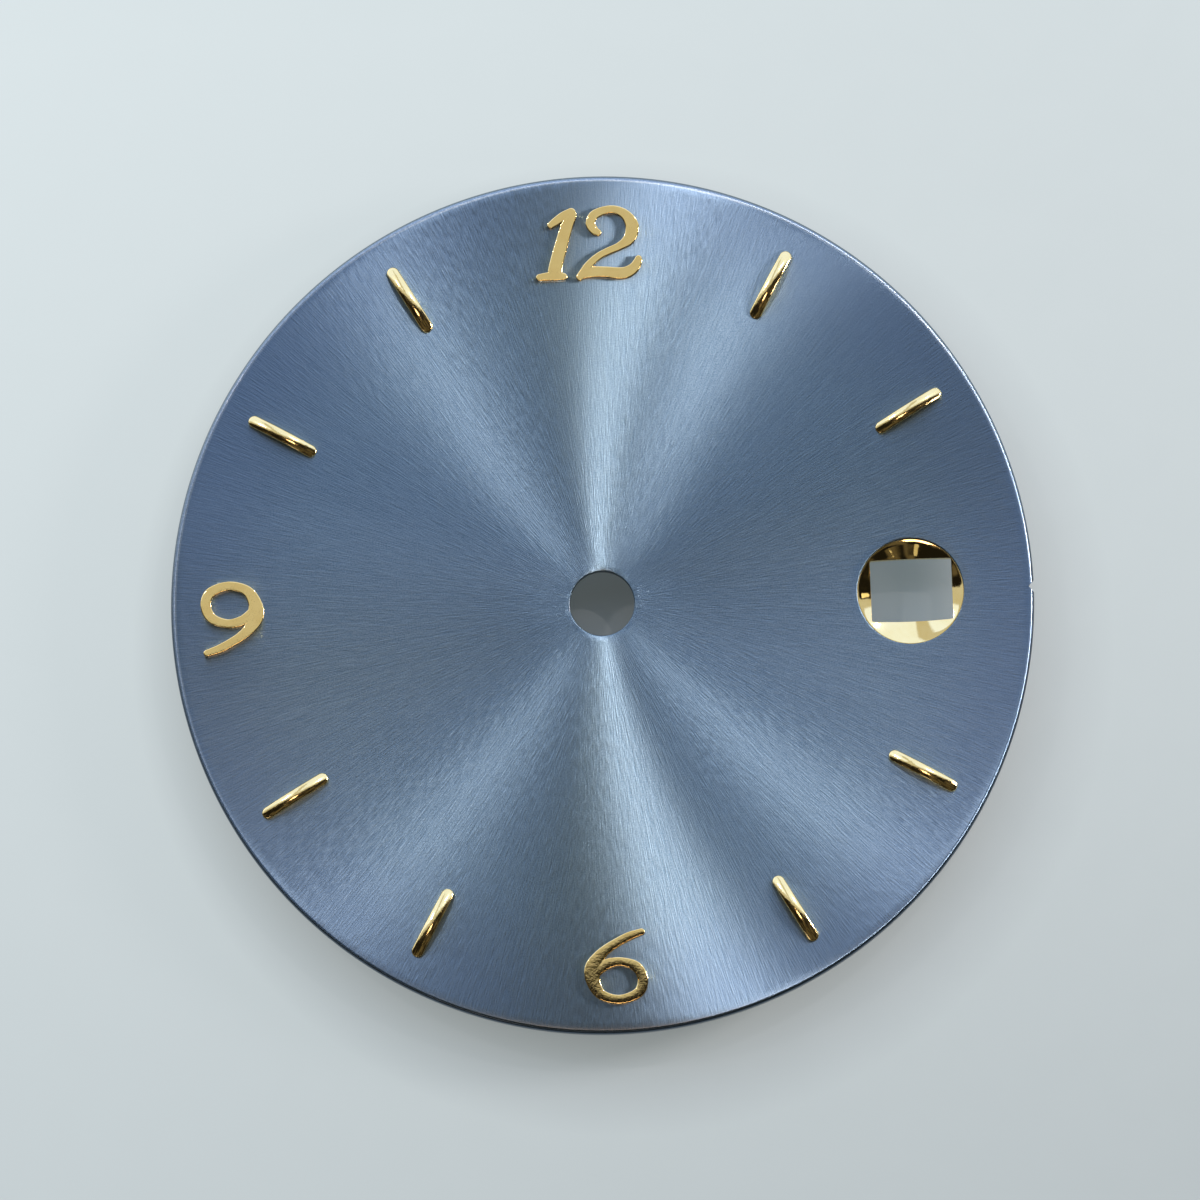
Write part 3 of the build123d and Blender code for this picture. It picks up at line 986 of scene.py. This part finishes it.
def numeral_grid(samples, cell):
    """A square grid over the strokes, with the points next to the edge moved onto it."""
    margin = samples[:, 2].max() / 2 + 2 * cell
    low = samples[:, :2].min(0) - margin
    count = np.ceil((samples[:, :2].max(0) + margin - low) / cell).astype(int) + 1
    x, y = np.meshgrid(low[0] + cell * np.arange(count[0]), low[1] + cell * np.arange(count[1]))
    points = np.stack([x.ravel(), y.ravel()], 1)
    distance, inward, half_width = edge_distance(points, samples)
    near = np.abs(distance) <= cell / 2
    points[near] -= inward[near] * distance[near, None]
    distance[near] = 0.0
    return points, distance, inward, half_width, count


def numeral_cells(distance, count):
    """Triangles of the cells that lie inside the edge.

    A cell with all its corners inside gives two triangles. A cell with one corner outside gives
    the triangle of the other three if the corner opposite is inside.
    """
    columns, rows = count
    index = np.arange(rows * columns).reshape(rows, columns)
    cell = np.stack([index[:-1, :-1], index[:-1, 1:], index[1:, 1:], index[1:, :-1]], -1).reshape(-1, 4)
    level = distance[cell]
    whole = (level >= 0).all(1) & (level.max(1) > 0)
    split = cell[whole]
    triangles = [split[:, [0, 1, 2]], split[:, [0, 2, 3]]]
    for corner in range(4):
        others = [(corner + 1) % 4, (corner + 2) % 4, (corner + 3) % 4]
        lone = (level[:, corner] < 0) & (level[:, others] >= 0).all(1) & (level[:, others[1]] > 0)
        triangles.append(cell[lone][:, others])
    return np.concatenate(triangles)


def boundary_edges(triangles):
    """Directed edges that only one triangle uses."""
    edges = np.concatenate([triangles[:, [0, 1]], triangles[:, [1, 2]], triangles[:, [2, 0]]])
    size = int(triangles.max()) + 1
    forward = edges[:, 0].astype(np.int64) * size + edges[:, 1]
    backward = edges[:, 1].astype(np.int64) * size + edges[:, 0]
    return edges[~np.isin(forward, backward)]


# %% The numeral's height and normals


def numeral_profile(distance, half_width):
    """Height over the foot and its slope: a quarter circle at the edge and a slight dome."""
    share = np.clip(1 - distance / numeral_edge_round, 0, 1)
    drop = numeral_edge_round * (1 - np.sqrt(1 - share**2))
    slope = share / np.sqrt(np.maximum(1 - share**2, 1e-6))
    across = np.clip(distance / half_width, 0, 1)
    height = numeral_thickness - numeral_dome + numeral_dome * (1 - (1 - across) ** 2) - drop
    return height, slope + 2 * numeral_dome * (1 - across) / half_width


def build_numeral(name, strokes, turn_degrees, centre, cell=0.011):
    """One numeral: its top, its walls and its underside, turned and set at its place."""
    samples = np.concatenate([stroke_samples(stroke) for stroke in strokes])
    plan, distance, inward, half_width, count = numeral_grid(samples, cell)
    triangles = numeral_cells(distance, count)
    used, triangles = np.unique(triangles, return_inverse=True)
    triangles = triangles.reshape(-1, 3)
    plan, distance, inward, half_width = plan[used], distance[used], inward[used], half_width[used]
    height, slope = numeral_profile(distance, half_width)
    angle = math.radians(turn_degrees)
    turn = np.array([[math.cos(angle), math.sin(angle)], [-math.sin(angle), math.cos(angle)]])
    plan = plan @ turn + np.asarray(centre)
    inward = inward @ turn
    edge = boundary_edges(triangles)
    count_top = len(plan)
    wall_a = np.stack([edge[:, 1], edge[:, 0], edge[:, 0] + count_top], 1)
    wall_b = np.stack([edge[:, 1], edge[:, 0] + count_top, edge[:, 1] + count_top], 1)
    faces = np.concatenate([triangles, wall_a, wall_b, triangles[:, ::-1] + count_top])
    top = np.column_stack([plan, height + face_height])
    foot = np.column_stack([plan, np.full(count_top, face_height)])
    piece = mesh_piece(name, np.concatenate([top, foot]), faces)
    top_normal = np.column_stack([-inward * slope[:, None], np.ones(count_top)])
    top_normal /= np.linalg.norm(top_normal, axis=1)[:, None]
    side_normal = np.column_stack([-inward, np.zeros(count_top)])
    walls = np.concatenate([wall_a, wall_b]) % count_top
    under = np.tile([0.0, 0.0, -1.0], (triangles.size, 1))
    normals = np.concatenate([top_normal[triangles.ravel()], side_normal[walls.ravel()], under])
    piece.data.normals_split_custom_set(normals)
    print(f"{name}: {len(faces)} triangles")
    return piece


# %% Set the numerals on the dial
twelve_circle = dial_radius - 2.345
six_circle = dial_radius - 2.223
nine_circle = dial_radius - 2.08
numeral_table = (
    ("twelve_one", "numeral_12_one", one_strokes, 0.0, (0.0, twelve_circle)),
    ("twelve_two", "numeral_12_two", two_strokes, 0.0, (0.0, twelve_circle)),
    ("six", "numeral_6", nine_strokes, 180.0, (0.0, -six_circle)),
    ("nine", "numeral_9", nine_strokes, 0.0, (-nine_circle, 0.0)),
)
for name, node, strokes, turn_degrees, centre in numeral_table:
    dress(build_numeral(name, strokes, turn_degrees, centre), gilt_satin, "gilt_satin", node)

# %% [markdown]
# ## Feet, solder and lacquer beads
#
# These are lathe shapes on the back. A profile of radius and height is swept round the piece's
# own axis. The beads are drops that set by themselves, so each is a little oval in its own way.

# %% A lathe for the small parts


def lathe_rows(radii, heights, centre, steps):
    """Points of a profile swept round a vertical axis, one row for each of the profile's points."""
    angle = np.linspace(0, 2 * np.pi, steps, endpoint=False)
    radii = np.asarray(radii, float)[:, None]
    heights = np.asarray(heights, float)[:, None]
    x = centre[0] + radii * np.cos(angle)
    y = centre[1] + radii * np.sin(angle)
    return np.stack([x, y, heights + 0 * x], axis=-1)


def build_lathe(name, profile, centre, steps=96):
    """A welded lathe shape from its profile."""
    rows = lathe_rows(profile[:, 0], profile[:, 1], centre, steps)
    return weld(mesh_piece(name, rows.reshape(-1, 3), band_faces(*rows.shape[:2])))


# %% Dial feet and their solder
foot_radius = 0.35
collar_radius = 0.55
collar_height = 0.12
collar_lip = 0.001
foot_chamfer = 0.1
chamfer_run = 0.012
tip_rise = 0.006
solder_reach = 0.25
solder_climb_share = 0.97
small_round = 0.02


def foot_profile():
    """From the top under the plate, over the collar and down the pin to its chamfered tip."""
    under = -collar_height
    tip_radius = foot_radius - foot_chamfer
    return np.array([
        (0, 0),
        (collar_radius - collar_lip, 0),
        (collar_radius, -collar_lip),
        (collar_radius, under + small_round),
        (collar_radius - small_round, under),
        (foot_radius + small_round, under),
        (foot_radius, under - small_round),
        (foot_radius, floor_height + foot_chamfer),
        (foot_radius - chamfer_run, floor_height + foot_chamfer - small_round),
        (tip_radius, floor_height + tip_rise),
        (tip_radius - small_round, floor_height),
        (0, floor_height),
    ])


def solder_profile(steps=10):
    """A hollow fillet between the plate and the collar: it meets both at a low angle."""
    turn = quarter_turn(steps)
    radius = collar_radius + solder_reach * (1 - np.sin(turn))
    height = -collar_height * solder_climb_share * (1 - np.cos(turn))
    return np.concatenate([[(collar_radius, 0)], np.stack([radius, height], 1), [(collar_radius, 0)]])


for number in (1, 2):
    centre = node_box(f"dial_foot_{number}")[2][:2]
    foot = build_lathe(f"foot_{number}", foot_profile(), centre)
    dress(foot, copper, "copper", f"dial_foot_{number}")
    ring = build_lathe(f"solder_{number}", solder_profile(), centre)
    dress(ring, solder, "solder", f"foot_solder_{number}")

# %% Lacquer beads
bead_radius = 0.31
bead_height = 0.18
bead_oval_share = 0.035
bead_seed = 7
baton_foot_share = 0.62
baton_foot_reach = baton_length / 2 * baton_foot_share
one_feet = ((-0.275, 0.262), (-0.437, -0.245))
two_feet = ((0.601, 0.200), (0.382, -0.409))
nine_feet = ((-0.337, 0.243), (0.303, 0.013))


def baton_bead_centres():
    """Two beads on each baton's middle line, at the same distance either side of its middle."""
    middles = np.array([node_box(node)[2][:2] for node in baton_nodes])
    along = middles / np.linalg.norm(middles, axis=1)[:, None]
    return np.concatenate([middles + along * baton_foot_reach, middles - along * baton_foot_reach])


def numeral_bead_centres():
    """The beads under the numerals, from each numeral's own feet."""
    one, two, nine = (np.array(feet) * numeral_height for feet in (one_feet, two_feet, nine_feet))
    return np.concatenate([one + (0, twelve_circle), two + (0, twelve_circle), -nine + (0, -six_circle),
                           nine + (-nine_circle, 0)])


def build_beads(name, centres, rows=9, steps=40):
    """Domes r = R cos(t), z = -H sin(t), drawn in a little on two sides, so that each is oval."""
    turn = np.linspace(0, np.pi / 2, rows)
    angle = np.linspace(0, 2 * np.pi, steps, endpoint=False)
    random = np.random.default_rng(bead_seed)
    phase = random.uniform(0, 2 * np.pi, len(centres))[:, None, None]
    wave = 1 - bead_oval_share * (1 + np.cos(2 * angle + phase)) * np.sin(turn)[:, None]
    radius = bead_radius * np.cos(turn)[:, None] * wave
    x = radius * np.cos(angle) + centres[:, 0, None, None]
    y = radius * np.sin(angle) + centres[:, 1, None, None]
    z = -bead_height * np.sin(turn)[:, None] + 0 * x
    dome = np.stack([x, y, z], axis=-1)
    lid = dome[:, :1].copy()
    lid[..., 0] = centres[:, 0, None, None]
    lid[..., 1] = centres[:, 1, None, None]
    beads = np.concatenate([lid, dome], axis=1)
    per_bead = beads.shape[1] * steps
    faces = [band_faces(beads.shape[1], steps, first=number * per_bead) for number in range(len(centres))]
    return weld(mesh_piece(name, beads.reshape(-1, 3), np.concatenate(faces)))


baton_beads = build_beads("baton_beads", baton_bead_centres())
numeral_beads = build_beads("numeral_beads", numeral_bead_centres())
dress(baton_beads, lacquer, "lacquer", "lacquer_beads_batons")
dress(numeral_beads, lacquer, "lacquer", "lacquer_beads_numerals")

# %% [markdown]
# ## Floor, light and camera
#
# The dial stands on its feet on a pale grey sheet, which is clear from below so that the back
# can be seen. A polished surface shows its surroundings, so the sky matters as much as the
# lamps: it is bright to the north, dark to the south and pale along the northern horizon, most
# of all in the west. Six square lamps light the dial. Five are nearly white: two to the east and
# one each to the north-west, north-east and south-west. The sixth is warm and nearly overhead.
# Each one draws a ray along the grooves that lie about square to it.

# %% Floor
floor_reach = 1200.0
sheet_dark = (0.245, 0.275, 0.285, 1.0)
sheet_light = (0.26, 0.29, 0.30, 1.0)
# The glow under the dial is a dim painted light in the dial's shade.
painted_light_under = (0.60, 0.80, 0.92, 1.0)
glow_open = (1.0, 1.11, 1.13)
shade_x = 0.6
shade_y = -1.2


def make_paper():
    """A pale sheet, part lit by the lamps and part glowing, so that the shadows stay soft.

    The glow is what the camera and mirrors see. Its share is the distance from a point a
    little south-east of the axis, put through straight ramps: low under the dial, and rising
    outside it. That is a painted shadow of the dial, with a dim painted light under it. Its
    level falls from north to south and from west to east, as daylight does: painted light.
    From below the sheet is clear.
    """
    material, tree, shader, place = new_material("pale_sheet")
    fibre = noise(tree, place, 0.6 / MM, detail=4.0)
    feed(tree, shader.inputs["Base Color"],
         blend_colour(tree, ranged(tree, fibre, 0.3, 0.7), sheet_dark, sheet_light))
    shader.inputs["Roughness"].default_value = 0.55
    bump(tree, shader, fibre, 0.01)
    axes = axes_of(tree, place)
    # Painted light: the glow's level falls from north to south and from west to east.
    level = maths(tree, "ADD", ranged(tree, axes["X"], -20.0 * MM, 20.0 * MM, 0.07, -0.07),
                  ranged(tree, axes["Y"], -20.0 * MM, 20.0 * MM, 0.62, 0.82))
    from_shade = vector_maths(tree, "SUBTRACT", place, (shade_x * MM, shade_y * MM, floor_height * MM))
    from_shade = vector_maths(tree, "LENGTH", from_shade)
    # Painted shadow: the glow's share is low under the dial and rises outside its rim.
    under = ranged(tree, from_shade, 2.0 * MM, 10.0 * MM, 0.075, 0.19)
    outside = ranged(tree, from_shade, 12.6 * MM, 16.6 * MM, 0.30, 0.72)
    past_rim = ranged(tree, from_shade, 11.6 * MM, 12.2 * MM)
    shadowed_glow_share = maths(tree, "MAXIMUM", under, maths(tree, "MULTIPLY", outside, past_rim))
    glow = tree.nodes.new("ShaderNodeEmission")
    open_light = vector_maths(tree, "SCALE", glow_open, scale=level)
    feed(tree, glow.inputs["Color"], blend_colour(tree, past_rim, painted_light_under, open_light))
    path = tree.nodes.new("ShaderNodeLightPath")
    seen = maths(tree, "MAXIMUM", path.outputs["Is Camera Ray"], path.outputs["Is Glossy Ray"])
    seen = maths(tree, "MAXIMUM", seen, path.outputs["Is Transmission Ray"])
    from_above = mix_shaders(tree, maths(tree, "MULTIPLY", seen, shadowed_glow_share), shader.outputs["BSDF"],
                             glow.outputs["Emission"])
    clear = tree.nodes.new("ShaderNodeBsdfTransparent").outputs["BSDF"]
    from_below = tree.nodes.new("ShaderNodeNewGeometry").outputs["Backfacing"]
    surface = mix_shaders(tree, from_below, from_above, clear)
    feed(tree, tree.nodes["Material Output"].inputs["Surface"], surface)
    return material


floor_points = np.array([(-1, -1, 0), (1, -1, 0), (1, 1, 0), (-1, 1, 0)], float) * floor_reach
floor_points[:, 2] = floor_height
floor = mesh_piece("floor", floor_points, np.array([[0, 1, 2, 3]]))
floor.data.materials.append(make_paper())

# %% Sky
sky_dark = (0.010, 0.009, 0.007, 1.0)
sky_room = (0.10, 0.085, 0.055, 1.0)
sky_near = (0.58, 0.60, 0.57, 1.0)
sky_panel = (0.93, 1.14, 1.62, 1.0)
sky_horizon = (0.95, 1.01, 1.08, 1.0)
sky_west = (1.9, 2.0, 2.15, 1.0)
sky_spots = ((-0.070, -0.325, 0.020, 0.60), (0.185, -0.300, 0.007, 1.0), (0.43, 0.13, 0.02, 1.2))


def sky_spot(tree, axes, x, y, size):
    """A small round light far away: 1 inside its size, measured in the plan of the directions."""
    across = maths(tree, "SUBTRACT", axes["X"], x)
    along = maths(tree, "SUBTRACT", axes["Y"], y)
    across_square = maths(tree, "MULTIPLY", across, across)
    along_square = maths(tree, "MULTIPLY", along, along)
    square = maths(tree, "ADD", across_square, along_square)
    return ranged(tree, maths(tree, "SQRT", square), size * 1.2, size * 0.8, smooth=True)


def make_sky():
    """Brightness by direction.

    To the south, and a little past east, is a dark room with a few small lights. To the north
    are two bright panels with a gap between them, over a pale horizon, brightest in the west.
    """
    world = bpy.data.worlds.new("tent")
    world.use_nodes = True
    bpy.context.scene.world = world
    tree = world.node_tree
    direction = tree.nodes.new("ShaderNodeTexCoord").outputs["Generated"]
    axes = axes_of(tree, direction)
    room = ranged(tree, noise(tree, direction, 5.0, detail=2.0), 0.48, 0.60, smooth=True)
    sky = blend_colour(tree, room, sky_dark, sky_room)
    for x, y, size, level in sky_spots:
        spot = sky_spot(tree, axes, x, y, size)
        sky = blend_colour(tree, spot, sky, (level, level * 0.9, level * 0.6, 1.0))
    east = maths(tree, "MAXIMUM", axes["X"], 0.0)
    line = maths(tree, "SUBTRACT", axes["Y"], maths(tree, "MULTIPLY", east, 0.19))
    sky = blend_colour(tree, ranged(tree, line, 0.079, 0.091, smooth=True), sky, sky_near)
    gap = maths(tree, "ABSOLUTE", maths(tree, "ADD", axes["X"], 0.12))
    gap = maths(tree, "MAXIMUM", ranged(tree, gap, 0.055, 0.085, smooth=True),
                ranged(tree, axes["Y"], 0.62, 0.72, smooth=True))
    panel = maths(tree, "MULTIPLY", ranged(tree, axes["Y"], 0.23, 0.26, smooth=True), gap)
    sky = blend_colour(tree, panel, sky, sky_panel)
    side = ranged(tree, axes["Y"], -0.1, 0.45, smooth=True)
    low = maths(tree, "MULTIPLY", ranged(tree, axes["Z"], 0.38, 0.20, smooth=True), side)
    west = ranged(tree, axes["X"], -0.35, -0.80, smooth=True)
    sky = blend_colour(tree, low, sky, blend_colour(tree, west, sky_horizon, sky_west))
    feed(tree, tree.nodes["Background"].inputs["Color"], sky)
    tree.nodes["Background"].inputs["Strength"].default_value = 1.0


make_sky()

# %% Lamps
lamp_pale = (1.0, 0.89, 0.85)
lamp_warm = (1.0, 0.72, 0.54)
lamp_table = (
    ("east", 80.4, 27.5, 88.0, 18.0, 0.069, lamp_pale),
    ("east_near", 93.7, 32.5, 44.5, 9.0, 0.0035, lamp_pale),
    ("north_west", 310.5, 58.0, 336.0, 18.0, 0.110, lamp_pale),
    ("north_east", 39.7, 60.0, 448.0, 12.0, 0.215, lamp_pale),
    ("south_west", 204.0, 38.5, 490.0, 84.0, 0.045, lamp_pale),
    ("overhead", 184.0, 83.5, 300.0, 40.0, 0.027, lamp_warm),
)


def clock_direction(clock_degrees, height_degrees):
    """Unit vector at an angle clockwise from 12 o'clock and an angle over the horizon."""
    clock = math.radians(clock_degrees)
    height = math.radians(height_degrees)
    return Vector((math.sin(clock) * math.cos(height), math.cos(clock) * math.cos(height), math.sin(height)))


def add_lamp(name, clock, height, distance, size, power, colour):
    """A square lamp that faces the dial's centre. Lengths in millimetres, power in watts."""
    light = bpy.data.lights.new(name, "AREA")
    light.shape = "SQUARE"
    light.size = size * MM
    light.energy = power
    light.color = colour
    lamp = bpy.data.objects.new(name, light)
    bpy.context.scene.collection.objects.link(lamp)
    towards = clock_direction(clock, height)
    lamp.location = towards * distance * MM
    lamp.rotation_euler = towards.to_track_quat("Z", "Y").to_euler()


for row in lamp_table:
    add_lamp(*row)

# %% Camera
camera_distance = 410.0
camera_tilt = 6.5
camera_bearing = 168.5
camera_roll = 2.2
sensor_width = 36.0
picture_size = 1200
near_clip = 10.0
picture_pixels_per_mm = 29.79
dial_centre_pixel = (602.1, 603.4)


def place_camera():
    """The camera looks at the point that the picture's middle shows, and is turned by the roll."""
    data = bpy.data.cameras.new("camera")
    data.sensor_width = sensor_width
    data.lens = sensor_width * picture_pixels_per_mm * camera_distance / picture_size
    data.clip_start = near_clip * MM
    camera = bpy.data.objects.new("camera", data)
    bpy.context.scene.collection.objects.link(camera)
    towards = clock_direction(camera_bearing, 90.0 - camera_tilt)
    level = Vector((0, 1, 0)).cross(towards).normalized()
    aim = Matrix((level, towards.cross(level), towards)).transposed()
    aim = aim @ Matrix.Rotation(math.radians(-camera_roll), 3, "Z")
    right, up = aim.col[0], aim.col[1]
    offset_x = (picture_size / 2 - dial_centre_pixel[0]) / picture_pixels_per_mm
    offset_y = (dial_centre_pixel[1] - picture_size / 2) / picture_pixels_per_mm
    target = (right * offset_x + up * offset_y + Vector((0, 0, face_height))) * MM
    camera.matrix_world = Matrix.Translation(target + towards * camera_distance * MM) @ aim.to_4x4()
    bpy.context.scene.camera = camera


place_camera()
bpy.context.scene.view_settings.view_transform = "Standard"
